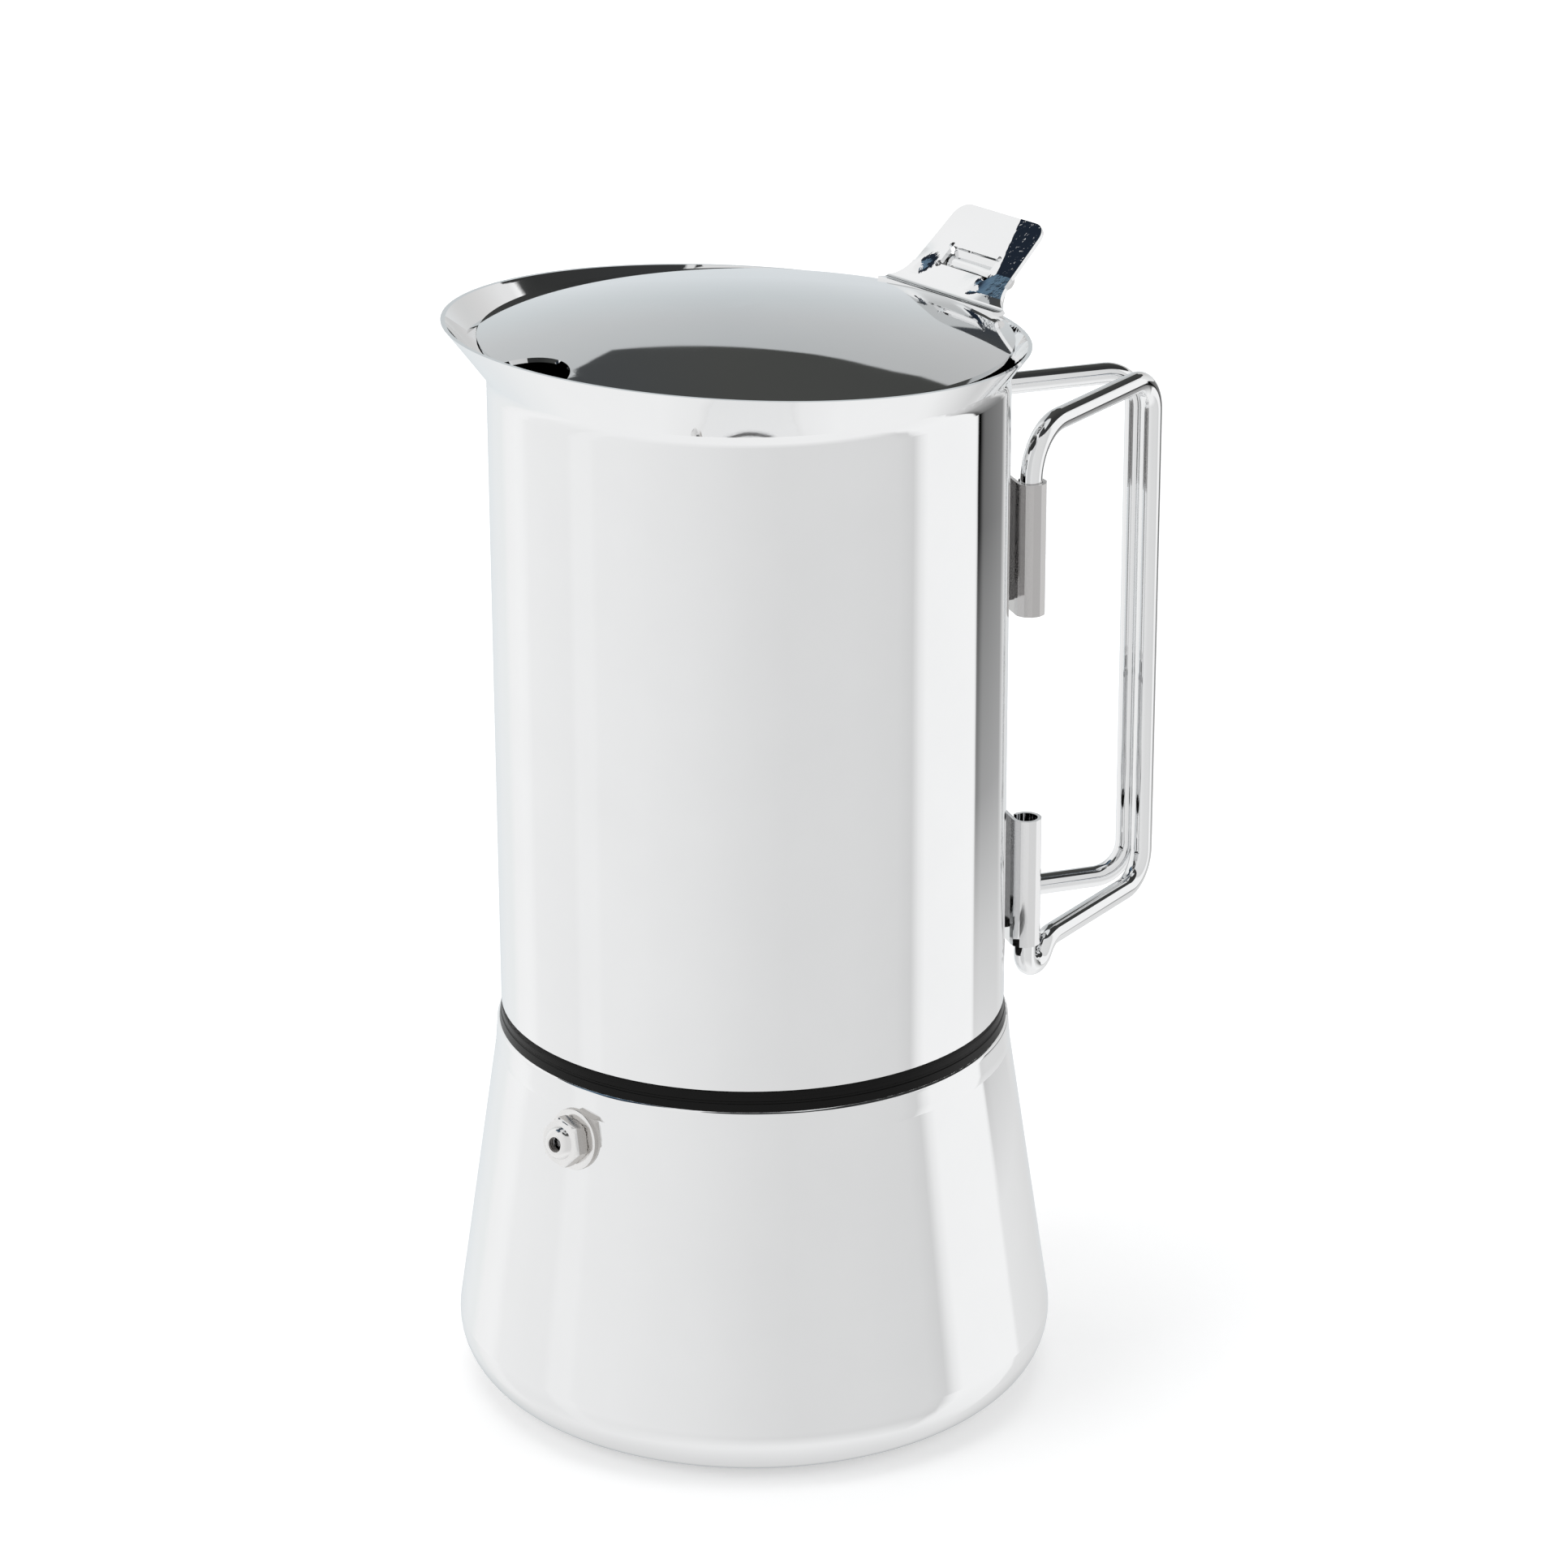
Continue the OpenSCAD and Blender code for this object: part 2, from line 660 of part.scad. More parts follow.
module hinge_bracket() {
  ear_w = 2 * (ear_y + ear_len);
  pad_z = pad_top_z - pad_h;
  top = [hinge_x - 0.6, hinge_z - 0.8];
  bend = [leg_x + ear_sheet / 2, hinge_z - 4];
  low = [leg_x + ear_sheet / 2, pad_top_z + 2.5];
  pad = [jug_r + ear_sheet / 2, pad_top_z - 1];
  color(steel) difference() {
    union() {
      rotate([90, 0, 0]) linear_extrude(height = ear_w, center = true) union() {
        strip(top, bend, ear_sheet);
        strip(bend, low, ear_sheet);
        strip(low, pad, ear_sheet);
      }
      intersection() {
        tube(jug_r + ear_sheet, jug_r, pad_z, pad_top_z);
        translate([0, -ear_w / 2, pad_z]) cube([2 * jug_r, ear_w, pad_h]);
      }
      translate([hinge_x, 0, hinge_z]) rotate([90, 0, 0]) cylinder(r = knuckle_r, h = ear_w, center = true, $fn = 32);
    }
    translate([hinge_x, 0, hinge_z]) rotate([90, 0, 0])
      cylinder(r = knuckle_r + ear_sheet + 0.8, h = 2 * ear_y, center = true, $fn = 32);
    translate([hinge_x, 0, hinge_z]) rotate([90, 0, 0]) cylinder(d = pin_d, h = 60, center = true, $fn = 24);
    translate([0, 0, pad_z - 5]) cylinder(r = jug_r, h = pad_h + 12, $fn = 180);
  }
}

module hinge_pin() {
  pin_len = 2 * (ear_y + ear_len) + 0.6;
  color(steel) translate([hinge_x, 0, hinge_z]) rotate([90, 0, 0])
    cylinder(d = pin_d, h = pin_len, center = true, $fn = 24);
}

// ---------- lid ----------

// outline of the folded-up tab in its own plane, x up the tab, y across
module tab_outline() {
  root = 4;
  c = tab_corner;
  waist_u = tab_root_curve;
  difference() {
    union() {
      translate([-root, -tab_root_w / 2]) square([root + waist_u, tab_root_w]);
      polygon([[0, -tab_waist_w / 2], [tab_len - c, -tab_top_w / 2], [tab_len - c, tab_top_w / 2],
               [0, tab_waist_w / 2]]);
      translate([tab_len - 2 * c, -tab_top_w / 2 + c]) square([2 * c, tab_top_w - 2 * c]);
      for (side = [-1, 1]) {
        translate([tab_len - c, side * (tab_top_w / 2 - c)]) circle(r = c, $fn = 32);
      }
    }
    for (side = [-1, 1]) {
      translate([waist_u + 0.4, side * (tab_waist_w / 2 + tab_root_curve)]) circle(r = tab_root_curve, $fn = 48);
    }
    translate([window_u, -window_w / 2]) square([window_h, window_w]);
    for (side = [-1, 1]) {
      translate([window_u, side * window_w / 2]) circle(r = 0.7, $fn = 24);
      translate([window_u + window_h, side * window_w / 2]) circle(r = 0.7, $fn = 24);
    }
  }
}

// points along an arc
function arc_points(c, r, from, to, n) =
  [for (i = [0 : n]) c + r * [cos(from + (to - from) * i / n), sin(from + (to - from) * i / n)]];

// a point given in axes turned by an angle
function turned(p, a) = [p[0] * cos(a) - p[1] * sin(a), p[0] * sin(a) + p[1] * cos(a)];

// section of the sheet through the fold, x outwards, y up
module fold_section() {
  reach = fold_bend * tan((tab_lean + fold_slope) / 2);
  half = lid_sheet / 2;
  c = turned([-reach, fold_bend], -fold_slope);
  from = -90 - fold_slope;
  to = -90 + tab_lean;
  end = turned([tab_len + 1, 0], tab_lean);
  back = turned([reach - 2.2, 0], -fold_slope);
  outer = arc_points(c, fold_bend + half, from, to, 10);
  inner = arc_points(c, fold_bend - half, to, from, 10);
  translate([fold_x, fold_z])
    polygon(concat([outer[0] + back], outer, [outer[10] + end], [inner[0] + end], inner, [inner[10] + back]));
}

module lid() {
  tongue_u = window_u + window_h;
  color(steel) union() {
    difference() {
      translate([-lid_shift, 0, lid_z + tan(lid_tilt) * lid_shift]) rotate([0, lid_tilt, 0])
        translate([0, 0, lid_rise - dome_r]) rotate_extrude($fn = 72) intersection() {
          difference() {
            circle(r = dome_r, $fn = 300);
            circle(r = dome_r - lid_sheet, $fn = 300);
          }
          translate([0, dome_r - 2 * lid_rise - 2]) square([lid_r, 2 * lid_rise + 4]);
        }
      translate([-lid_shift - lid_r + notch_depth - notch_r, 0, lid_z - 10]) cylinder(r = notch_r, h = 30);
      translate([fold_x - 1.6, -tab_root_w / 2 - 4, lid_z - 10]) cube([20, tab_root_w + 8, 30]);
    }
    intersection() {
      rotate([90, 0, 0]) linear_extrude(height = 60, center = true) fold_section();
      translate([fold_x, 0, fold_z]) rotate([0, -tab_lean, 0]) translate([0, 0, -8])
        linear_extrude(height = 20) tab_outline();
    }
    difference() {
      rotate([90, 0, 0]) linear_extrude(height = knuckle_len, center = true)
        translate([fold_x, fold_z]) rotate(tab_lean) union() {
          translate([hinge_u, -hinge_v]) circle(r = knuckle_r, $fn = 32);
          polygon([[tongue_u + 0.9, -lid_sheet / 2], [tongue_u, -lid_sheet / 2],
                   [hinge_u + knuckle_r * 0.5, -hinge_v + knuckle_r * 0.8],
                   [hinge_u + knuckle_r * 0.5, -hinge_v - knuckle_r * 0.5],
                   [hinge_u + knuckle_r * 0.98, -hinge_v]]);
          translate([tongue_u, -lid_sheet / 2]) square([0.9, lid_sheet]);
        }
      translate([hinge_x, 0, hinge_z]) rotate([90, 0, 0])
        cylinder(r = pin_d / 2 + pin_fit, h = 40, center = true, $fn = 32);
    }
  }
}

// ---------- handle ----------

// one wire loop in its own plane, pivot on the Z axis, grip towards +X
module wire_loop() {
  grip_in = loop_len - grip_bend;
  wire_straight(up_sleeve_z + wire_tuck, arm_top_z - shoulder_bend);
  wire_bend(shoulder_bend, arm_top_z - shoulder_bend, shoulder_bend, 90, 90);
  translate([shoulder_bend, 0, arm_top_z]) rotate([0, 90, 0]) wire_straight(0, grip_in - shoulder_bend);
  wire_bend(grip_in, grip_top_z, grip_bend, 0, 90);
  translate([loop_len, 0, 0]) wire_straight(grip_low_z, grip_top_z);
  wire_bend(grip_in, grip_low_z, grip_bend, 270, 90);
  translate([ease_u, 0, arm_low_z]) rotate([0, 90, 0]) wire_straight(0, grip_in - ease_u);
  wire_bend(ease_u, arm_low_z - ease_bend, ease_bend, 90, hook_turn);
  translate([hook_end_u, 0, hook_end_z]) rotate([0, 90 - hook_turn, 0]) wire_straight(0, hook_run);
  wire_bend(hook_bend, hook_cz, hook_bend, 270, hook_turn);
  wire_bend(hook_bend, hook_cz, hook_bend, 180, 90);
  wire_straight(hook_cz, low_sleeve_z + sleeve_h - wire_short);
}

module handle_front() {
  color(steel) translate([pivot_x, -pivot_y, 0]) rotate([0, 0, loop_angle]) wire_loop();
}

module handle_rear() {
  color(steel) translate([pivot_x, pivot_y, 0]) rotate([0, 0, -loop_angle]) wire_loop();
}

boiler_shell();
boiler_neck();
valve_body();
valve_seal();
valve_nut();
valve_spring();
valve_pin();
valve_plug();
funnel_basket();
funnel_stem();
funnel_screen();
joint_ring();
jug_shell();
jug_floor();
jug_collar();
column();
column_cap();
gasket();
filter_plate();
upper_bracket();
lower_bracket();
hinge_bracket();
hinge_pin();
lid();
handle_front();
handle_rear();
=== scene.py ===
import math

import bmesh
import bpy
from mathutils import Matrix, Vector


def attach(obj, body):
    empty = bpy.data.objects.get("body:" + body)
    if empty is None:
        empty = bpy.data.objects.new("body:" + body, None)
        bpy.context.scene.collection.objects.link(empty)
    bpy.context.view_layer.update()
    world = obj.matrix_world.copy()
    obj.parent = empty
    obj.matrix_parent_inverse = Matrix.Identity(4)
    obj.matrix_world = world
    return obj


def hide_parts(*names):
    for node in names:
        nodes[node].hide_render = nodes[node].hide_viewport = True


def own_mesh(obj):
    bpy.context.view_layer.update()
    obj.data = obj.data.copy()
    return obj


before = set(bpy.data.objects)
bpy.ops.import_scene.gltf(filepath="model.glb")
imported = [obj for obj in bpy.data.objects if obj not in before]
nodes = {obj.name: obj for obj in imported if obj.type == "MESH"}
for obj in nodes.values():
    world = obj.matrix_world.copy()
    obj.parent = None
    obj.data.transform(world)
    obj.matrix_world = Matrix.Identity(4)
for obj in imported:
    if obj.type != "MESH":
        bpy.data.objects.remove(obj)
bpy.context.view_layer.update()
MM = 0.001


# ---------------------------------------------------------------- shader trees


class Shader:
    """The node tree of a material or world, with short calls for adding and joining nodes."""

    def __init__(self, owner, output):
        owner.use_nodes = True
        self.tree = owner.node_tree
        self.tree.nodes.clear()
        self.out = self.add(output)

    def feed(self, socket, value):
        """Joins a socket to another, or gives it a constant."""
        if isinstance(value, bpy.types.NodeSocket):
            self.tree.links.new(value, socket)
        else:
            socket.default_value = value

    def add(self, kind, *inputs, **named):
        """A new node, its inputs fed in order or by name; the node's own settings go by name too."""
        node = self.tree.nodes.new("ShaderNode" + kind)
        for socket, value in zip(node.inputs, inputs):
            self.feed(socket, value)
        for name, value in named.items():
            if hasattr(node, name):
                setattr(node, name, value)
            else:
                self.feed(node.inputs[name.replace("_", " ")], value)
        return node

    def calc(self, operation, a, b=0.0, c=0.0, clamp=False):
        """A sum of numbers or sockets, as the Math node does it."""
        return self.add("Math", a, b, c, operation=operation, use_clamp=clamp).outputs[0]

    def mix(self, amount, first, second, blend="MIX"):
        """The first colour where amount is 0, and the second, or their blend, where it is 1."""
        return self.add("MixRGB", amount, first, second, blend_type=blend).outputs[0]

    def mix_shaders(self, amount, first, second):
        """The first shader where amount is 0, and the second where it is 1."""
        return self.add("MixShader", amount, first, second).outputs[0]

    def noise(self, position, scale, detail, roughness=0.5):
        """Cloudy noise from 0 to 1."""
        node = self.add("TexNoise", Vector=position, Scale=scale, Detail=detail, Roughness=roughness)
        return node.outputs["Fac"]

    def graph(self, value, stops):
        """The colour at value, in straight lines between stops of (value, tone) or (value, r, g, b)."""
        low, high = stops[0][0], stops[-1][0]
        span = high - low
        if (low, high) != (0, 1):
            value = self.calc("MULTIPLY_ADD", value, 1 / span, -low / span, clamp=True)
        node = self.add("ValToRGB", value)
        elements = node.color_ramp.elements
        elements[0].color = rgba(stops[0][1:])
        elements[1].color = rgba(stops[-1][1:])
        for at, *tone in stops[1:-1]:
            elements.new((at - low) / span).color = rgba(tone)
        return node.outputs["Color"]

    def relief(self, heights):
        """The normal of a face raised by each (height, metres for a height of 1) in turn."""
        normal = None
        for height, distance in heights:
            bump = self.add("Bump", Strength=1.0, Distance=distance, Height=height)
            if normal:
                self.feed(bump.inputs["Normal"], normal)
            normal = bump.outputs["Normal"]
        return normal

    def split(self, position):
        """The position's x, y and z."""
        return self.add("SeparateXYZ", position).outputs

    def from_axis(self, x, y):
        """Distance from the pot's axis."""
        return self.calc("SQRT", self.calc("ADD", self.calc("MULTIPLY", x, x), self.calc("MULTIPLY", y, y)))


def rgba(tone):
    """One tone or three as an opaque colour."""
    return (*(tone * 3 if len(tone) == 1 else tone), 1)


# ---------------------------------------------------------------- materials

# noise scales, in cycles a metre
SMEAR_SCALE = 60
WAVE_SCALE = 40
GRAIN_SCALE = 2500
PATCH_SCALE = 90
SMEAR_LOW, SMEAR_HIGH = 0.35, 0.75  # values of the smear noise where the polish is best and worst


def tinted(s, amount, colour, dark, light):
    """The colour times dark where amount is 0, and times light where it is 1."""
    ends = [(at, *[min(1, c * share) for c in colour]) for at, share in ((0, dark), (1, light))]
    return s.graph(amount, ends)


def metal(name, colour, rough, spread, waves, grain, more_height=None, shade=None):
    """Metal whose polish changes over the surface, with soft waves in the sheet and fine marks.

    waves and grain are their heights in metres. more_height(s, position) adds to the height of the
    surface in metres, and shade(s, position) darkens the colour with painted shade.
    """
    material = bpy.data.materials.new(name)
    s = Shader(material, "OutputMaterial")
    position = s.add("TexCoord").outputs["Object"]
    smear = s.noise(position, SMEAR_SCALE, detail=6, roughness=0.6)
    polish = s.add("MapRange", Value=smear, From_Min=SMEAR_LOW, From_Max=SMEAR_HIGH,
                   To_Min=rough, To_Max=rough + spread)
    shown = tinted(s, smear, colour, 0.97, 1.02)
    if shade:
        shown = s.mix(1, shown, shade(s, position), "MULTIPLY")
    heights = [(s.noise(position, WAVE_SCALE, detail=1), waves),
               (s.noise(position, GRAIN_SCALE, detail=2), grain)]
    if more_height:
        heights.append((more_height(s, position), 1.0))
    face = s.add("BsdfPrincipled", Metallic=1.0, Base_Color=shown, Roughness=polish.outputs["Result"],
                 Normal=s.relief(heights))
    s.feed(s.out.inputs["Surface"], face.outputs["BSDF"])
    return material


def soft(name, colour, rough, spread, texture, texture_scale, gloss=0.5):
    """Plastic or rubber with a fine moulded texture, whose height is in metres."""
    material = bpy.data.materials.new(name)
    s = Shader(material, "OutputMaterial")
    position = s.add("TexCoord").outputs["Object"]
    patches = s.noise(position, PATCH_SCALE, detail=5)
    polish = s.add("MapRange", Value=patches, To_Min=rough, To_Max=rough + spread)
    mould = s.noise(position, texture_scale, detail=3)
    face = s.add("BsdfPrincipled", Base_Color=tinted(s, patches, colour, 0.8, 1.15), Specular_IOR_Level=gloss,
                 Roughness=polish.outputs["Result"], Normal=s.relief([(mould, texture)]))
    s.feed(s.out.inputs["Surface"], face.outputs["BSDF"])
    return material


# the throat between the jug's wall and the curled sleeves: painted shade by distance from the pot's axis
THROAT_PAINTED_SHADE = [(0.04, 1), (0.0458, 1), (0.0462, 0.06), (0.0488, 0.03), (0.0496, 0.4), (0.0504, 1), (0.06, 1)]
# the painted shade on the bracket's plate in the middle, by distance to the side, is never darker than this
PLATE_PAINTED_SHADE_LEAST = [(0.0075, 0.4), (0.0095, 0)]


def throat_painted_shade(s, position):
    """Painted shade: dark in the narrow throat between the jug's wall and the curled sleeves."""
    x, y, _ = s.split(position)
    dark = s.graph(s.from_axis(x, y), THROAT_PAINTED_SHADE)
    return s.calc("MAXIMUM", dark, s.graph(s.calc("ABSOLUTE", y), PLATE_PAINTED_SHADE_LEAST))


TAB_LEAN = math.radians(41.5)  # how far the lid's tab rises from level
TAB_FOOT = Vector((0.0433, 0, 0.19434))  # the middle of the tab's fold
TAB_UP_X, TAB_UP_Z = math.cos(TAB_LEAN), math.sin(TAB_LEAN)
TAB_START = 0.0015  # the relief grows to its full height this far up from the fold

RAGGED_SCALE = 700  # cycles a metre of the noise that makes the outlines of bends and bulges uneven
RAGGED = 0.0006  # and how far it moves them in all
BEND_SLOPE = -0.1  # how the sheet falls away past its bend
# the bend's line, by its distance from the tab's middle: (at the fold, change for each unit up)
BEND_UPPER = (0.0102, -0.32)
BEND_LOWER = (0.0035, 0.8)
BEND_NEAREST = 0.0046
# places beside the window where the sheet bulges: distance up the tab, place to the side, radius and height
BULGES = ((0.0046, 0.0110, 0.0024, 0.0005), (0.0037, -0.0046, 0.0022, 0.0004))


def up_tab(s, x, z):
    """Distance up the tab from its fold."""
    along = s.calc("MULTIPLY_ADD", x, TAB_UP_X, -TAB_FOOT.x * TAB_UP_X)
    return s.calc("ADD", along, s.calc("MULTIPLY_ADD", z, TAB_UP_Z, -TAB_FOOT.z * TAB_UP_Z))


def bulge(s, up, side, place):
    """A round rise, smooth like a bell curve; place is a row of BULGES."""
    at_up, at_side, radius, height = place
    a = s.calc("MULTIPLY_ADD", up, 1 / radius, -at_up / radius)
    b = s.calc("MULTIPLY_ADD", side, 1 / radius, -at_side / radius)
    square = s.calc("ADD", s.calc("MULTIPLY", a, a), s.calc("MULTIPLY", b, b))
    return s.calc("MULTIPLY", s.calc("EXPONENT", s.calc("MULTIPLY", square, -1.0)), height)


def tab_bends(s, position):
    """Height of the tab's face where its sheet is a little bent: down at one side, and up in two bulges."""
    x, y, z = s.split(position)
    up = up_tab(s, x, z)
    on_tab = s.calc("MULTIPLY_ADD", up, 1 / TAB_START, 0.0, clamp=True)
    ragged = s.calc("MULTIPLY_ADD", s.noise(position, RAGGED_SCALE, detail=3), RAGGED, -RAGGED / 2)
    upper, lower = [s.calc("MULTIPLY_ADD", up, change, foot) for foot, change in (BEND_UPPER, BEND_LOWER)]
    line = s.calc("MAXIMUM", s.calc("MINIMUM", upper, lower), BEND_NEAREST)
    past = s.calc("MAXIMUM", s.calc("SUBTRACT", s.calc("SUBTRACT", ragged, y), line), 0.0)
    height = s.calc("MULTIPLY", past, BEND_SLOPE)
    side = s.calc("ADD", y, ragged)
    for place in BULGES:
        height = s.calc("ADD", height, bulge(s, up, side, place))
    return s.calc("MULTIPLY", height, on_tab)


# painted shade on the hinge barrel, by depth below the tab's face: dark where it goes down into the window
BARREL_PAINTED_SHADE = [(0, 1), (0.00102, 1), (0.00168, 0.7), (0.00222, 0.25), (0.00288, 0.3), (0.00396, 1),
                (0.006, 1)]


def barrel_painted_shade(s, position):
    """Painted shade: dark where the hinge barrel goes down into the window of the tab."""
    x, _, z = s.split(position)
    foot = TAB_FOOT.x * TAB_UP_Z - TAB_FOOT.z * TAB_UP_X
    below = s.calc("SUBTRACT", s.calc("MULTIPLY", x, TAB_UP_Z), s.calc("MULTIPLY_ADD", z, TAB_UP_X, foot))
    return s.graph(below, BARREL_PAINTED_SHADE)


# colour, best polish, how much worse it gets, and the heights of waves and of grain
MIRROR = metal("polished_steel", (0.885, 0.89, 0.895), 0.012, 0.03, 0.00004, 0.0000003)
LID = metal("lid_steel", (0.88, 0.885, 0.89), 0.018, 0.03, 0.00002, 0.0000004, more_height=tab_bends)
# the upper sleeve's steel is painted darker than the lower sleeve's, a painted shade standing in for its dark
# reflections; both sleeves also get painted shade in the throat by the jug's wall
SLEEVE_UP_PAINTED_DARK = metal("sleeve_steel_painted_dark", (0.55, 0.54, 0.535), 0.07, 0.05, 0.00001, 0.000001, shade=throat_painted_shade)
SLEEVE_LOW = metal("sleeve_bright", (0.84, 0.84, 0.845), 0.05, 0.04, 0.00001, 0.0000008, shade=throat_painted_shade)
BRIGHT = metal("machined_steel", (0.86, 0.855, 0.85), 0.14, 0.08, 0.00001, 0.0000012)
FLATS = metal("milled_steel", (0.56, 0.54, 0.52), 0.2, 0.1, 0.00001, 0.000004)
# the valve's tapped hole and chamber: steel painted dark, a painted shade for the inside of the hole
BORE_PAINTED_DARK = metal("bore_steel_painted_dark", (0.16, 0.15, 0.145), 0.22, 0.1, 0.00001, 0.000001)
# the hinge bracket and pin get painted shade where the barrel goes down into the window
BARREL = metal("rolled_steel", (0.74, 0.735, 0.73), 0.14, 0.1, 0.00001, 0.0000015, shade=barrel_painted_shade)
SATIN = metal("satin_steel", (0.72, 0.72, 0.73), 0.24, 0.1, 0.00002, 0.000003)
BLACK = soft("ring_plastic", (0.0022, 0.0021, 0.002), 0.26, 0.08, 0.000006, 1800, gloss=0.16)
RUBBER = soft("seal_rubber", (0.55, 0.53, 0.5), 0.55, 0.12, 0.00003, 1500)

FINISH = {
    MIRROR: ("polished_steel", ["boiler_shell", "jug_shell", "handle_front", "handle_rear"]),
    LID: ("polished_steel", ["lid"]),
    BARREL: ("polished_steel", ["hinge_bracket", "hinge_pin"]),
    SLEEVE_UP_PAINTED_DARK: ("polished_steel", ["upper_bracket"]),
    SLEEVE_LOW: ("polished_steel", ["lower_bracket"]),
    BRIGHT: ("satin_steel", ["valve_body"]),
    SATIN: ("satin_steel", ["boiler_neck", "valve_nut", "valve_spring", "valve_pin", "valve_plug",
                            "funnel_basket", "funnel_stem", "funnel_screen", "jug_floor", "jug_collar",
                            "column", "column_cap", "filter_plate"]),
    BLACK: ("ring_plastic", ["joint_ring"]),
    RUBBER: ("seal_rubber", ["gasket", "valve_seal"]),
}
for finish, (slot_name, members) in FINISH.items():
    for member in members:
        nodes[member].data.materials.clear()
        nodes[member].data.materials.append(finish)


# ---------------------------------------------------------------- added pieces, in mm


def row_faces(count, around):
    """The faces between each of count rows and the next, as numbers of their points."""
    faces = []
    for j in range(count - 1):
        for i in range(around):
            k = (i + 1) % around
            faces.append((j * around + i, j * around + k, (j + 1) * around + k, (j + 1) * around + i))
    return faces


def close_up(mesh):
    """Joins points that lie on each other and turns the faces outward."""
    shape = bmesh.new()
    shape.from_mesh(mesh)
    bmesh.ops.remove_doubles(shape, verts=shape.verts, dist=0.001 * MM)
    bmesh.ops.recalc_face_normals(shape, faces=shape.faces)
    shape.to_mesh(mesh)
    shape.free()


def add_object(name, data):
    """A new object in the scene with this mesh, lamp or camera."""
    o = bpy.data.objects.new(name, data)
    bpy.context.scene.collection.objects.link(o)
    return o


def piece(name, rows, place, materials, body, row_finish=None, sharp=35):
    """A mesh through rows of points, each closed round its axis, that is smooth up to sharp degrees.

    row_finish holds, for each row, which of the materials covers the faces from it to the next one.
    """
    around = len(rows[0])
    points = [place @ (Vector(p) * MM) for row in rows for p in row]
    mesh = bpy.data.meshes.new(name)
    mesh.from_pydata(points, [], row_faces(len(rows), around))
    for material in materials:
        mesh.materials.append(material)
    if row_finish:
        for n, face in enumerate(mesh.polygons):
            face.material_index = row_finish[n // around]
    close_up(mesh)
    for face in mesh.polygons:
        face.use_smooth = True
    mesh.set_sharp_from_angle(angle=math.radians(sharp))
    o = add_object(name, mesh)
    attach(o, body)
    return o


def ring_row(radius, height, around):
    """One row round the axis; radius is a number or a function of the angle."""
    row = []
    for i in range(around):
        a = 2 * math.pi * i / around
        r = radius(a) if callable(radius) else radius
        row.append((r * math.cos(a), r * math.sin(a), height))
    return row


# radius and height, from the top face out over the rolled edge, down the cone and back inside
SHOULDER = [(44.2, 68.33), (45.2, 68.34), (45.36, 68.31), (45.42, 68.27), (45.72, 68.03), (45.8, 67.9),
            (45.84, 67.7), (45.86, 67.4), (45.9, 66.6), (46.03, 64.9), (46.135, 63.6), (46.1, 63.2),
            (44.9, 64.2), (44.2, 68.33)]


def boiler_shoulder():
    """The rolled edge where the boiler's cone turns in under the joint ring."""
    rows = [ring_row(radius, height, 240) for radius, height in SHOULDER]
    piece("boiler_shoulder", rows, Matrix(), [MIRROR], "boiler")


VALVE_TURN = -169.3  # degrees round the pot from the handle
VALVE_OUT = 46.811  # where its axis meets the boiler's wall
VALVE_HEIGHT = 58.8
VALVE_RISE = 8.45  # degrees, square to the tapered wall
VALVE_SPIN = -14  # degrees round its own axis, which turns the hexagon


def valve_place():
    """The valve's frame on the boiler, with Z along its axis and pointing out."""
    turn = Matrix.Rotation(math.radians(VALVE_TURN), 4, "Z")
    shift = Matrix.Translation((VALVE_OUT * MM, 0, VALVE_HEIGHT * MM))
    tip = Matrix.Rotation(math.radians(90 - VALVE_RISE), 4, "Y")
    spin = Matrix.Rotation(math.radians(VALVE_SPIN), 4, "Z")
    return turn @ shift @ tip @ spin


VALVE_AT = valve_place()
VALVE_FLAT = 3.9  # half the hexagon's width across its flats
VALVE_BACK = -6.2  # the shank's inner end
CHAMBER = 2.3  # radius of the valve's chamber
HOLE_TOP, HOLE_DEPTH = 5.1, 1.3
HOLE_RADIUS, HOLE_THREAD, HOLE_PITCH = 1.2, 0.3, 0.36


def hexagon(limit):
    """Radius of the valve's hexagon, turned down to limit at its corners."""
    def radius(a):
        off = (a + math.pi / 6) % (math.pi / 3) - math.pi / 6
        return min(VALVE_FLAT / math.cos(off), limit)
    return radius


def hole_thread(height):
    """Radius of the tapped hole at this height."""
    def radius(a):
        off = (height / HOLE_PITCH - a / (2 * math.pi)) % 1.0 - 0.5
        return HOLE_RADIUS + 2 * HOLE_THREAD * abs(off)
    return radius


